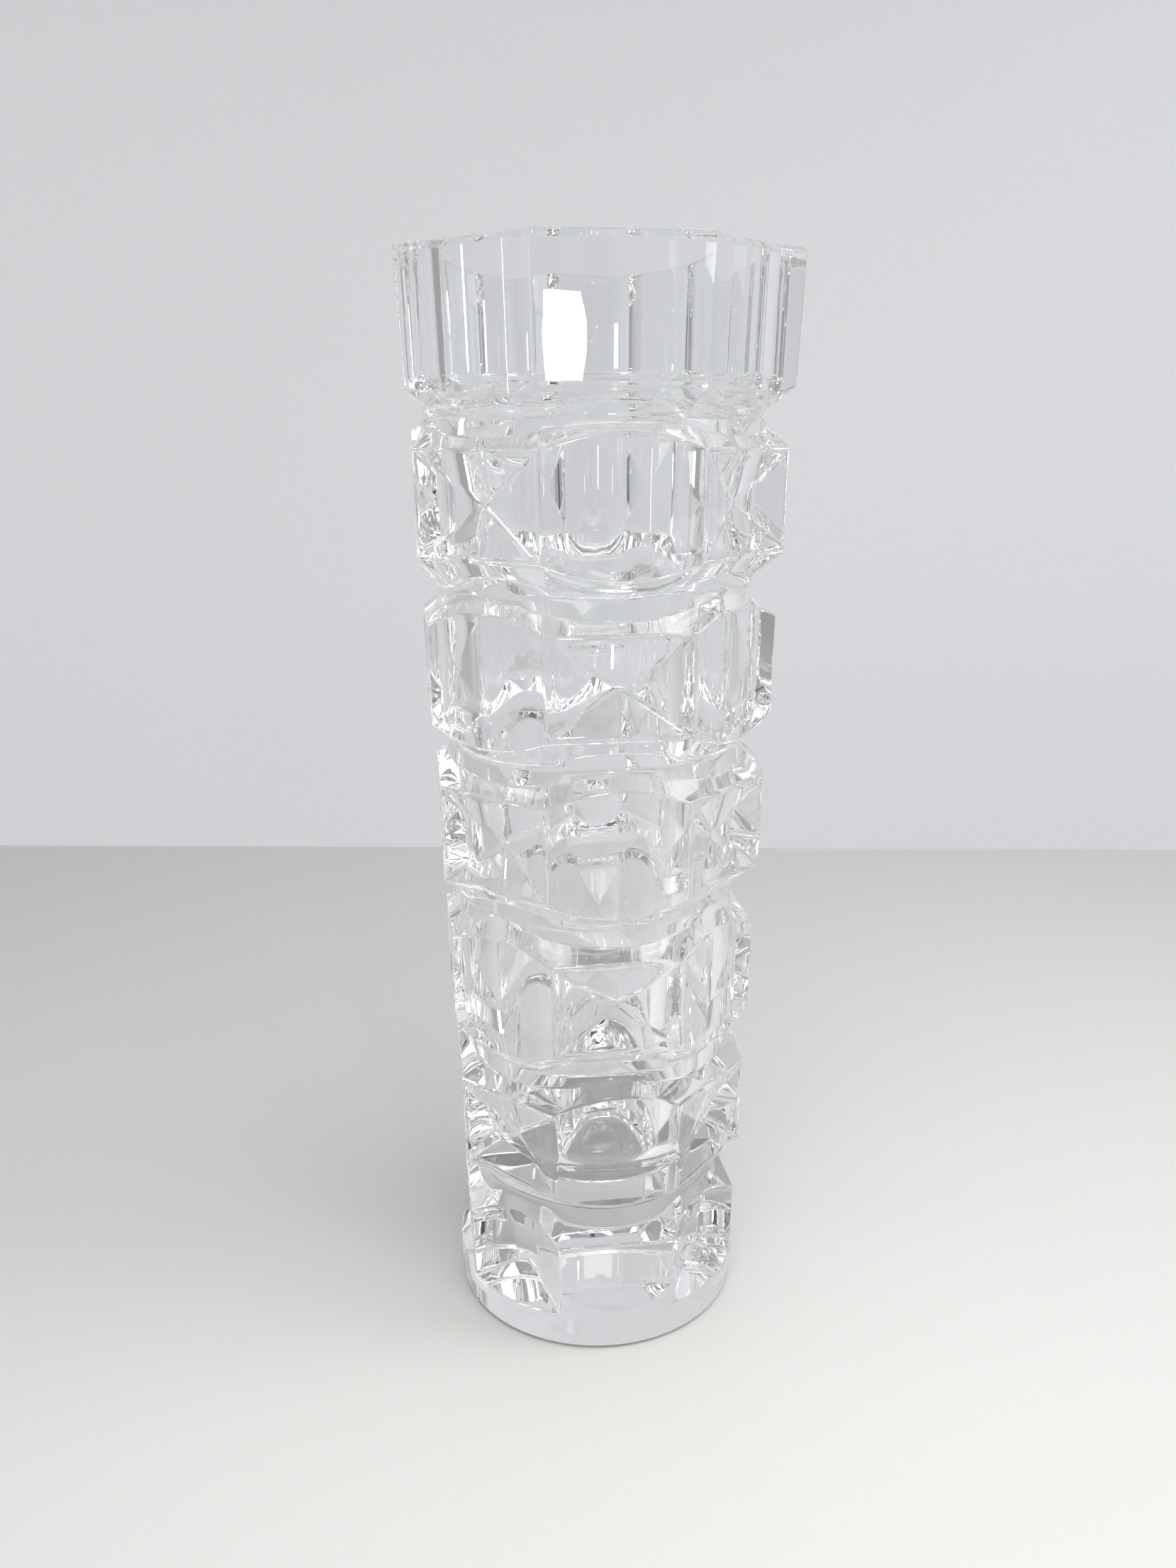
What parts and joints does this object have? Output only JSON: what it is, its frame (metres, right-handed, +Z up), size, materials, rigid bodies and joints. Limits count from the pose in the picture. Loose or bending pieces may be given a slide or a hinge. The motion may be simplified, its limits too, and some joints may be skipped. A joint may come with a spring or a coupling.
{
  "type": "cut crystal vase",
  "caption": "Tall clear crystal vase with faceted bands between round grooves, a thick solid base and a wider collar, open at the top.",
  "frame": {"origin": "centre of the flat underside, on the surface that the vase stands on", "axes": "+Z up along the axis of the vase, -Y out through the middle of a flat face of the collar"},
  "size_m": [0.0842, 0.0842, 0.246],
  "materials": {
    "crystal": "clear colourless crystal glass, fire-polished, with softly rounded edges"
  },
  "bodies": {
    "root": {"foot_disc": "crystal", "base_block": "crystal", "band_1": "crystal", "band_2": "crystal", "band_3": "crystal", "band_4": "crystal", "band_5": "crystal", "collar": "crystal"}
  },
  "joints": []
}
